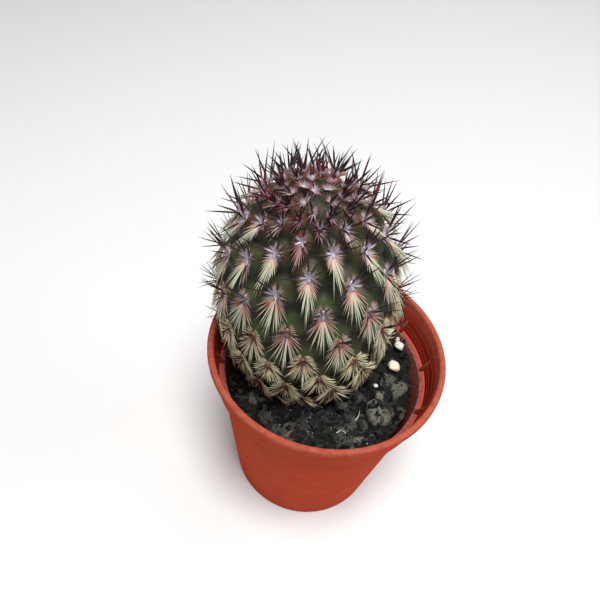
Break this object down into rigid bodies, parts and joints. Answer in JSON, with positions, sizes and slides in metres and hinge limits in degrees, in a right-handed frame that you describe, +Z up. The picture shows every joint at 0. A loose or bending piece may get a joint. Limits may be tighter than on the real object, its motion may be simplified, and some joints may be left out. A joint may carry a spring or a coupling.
{
  "type": "potted pincushion cactus",
  "caption": "Egg-shaped pincushion cactus with spiral tubercles, combed pale radial spines and dark centrals, in dark soil in a small round plastic nursery pot.",
  "frame": {"origin": "middle of the flat underside of the pot", "axes": "+Z up along the pot's axis; -Y is the side that the picture looks at from above; +X is the side where the soil is open"},
  "size_m": [0.0616, 0.0579, 0.1017],
  "materials": {
    "pot_plastic": "semi-matte terracotta-orange moulded plastic, softly shiny on the lip",
    "soil": "moist near-black peat with crumbs and bark, matte with small wet glints",
    "cactus": "dark green waxy skin, cream to straw radial spines with reddish bases, maroon-black central spines",
    "perlite": "chalky off-white grain, matte"
  },
  "bodies": {
    "root": {"pot": "pot_plastic", "soil": "soil", "cactus": "cactus", "perlite_1": "perlite", "perlite_2": "perlite", "perlite_3": "perlite", "perlite_4": "perlite"}
  },
  "joints": []
}
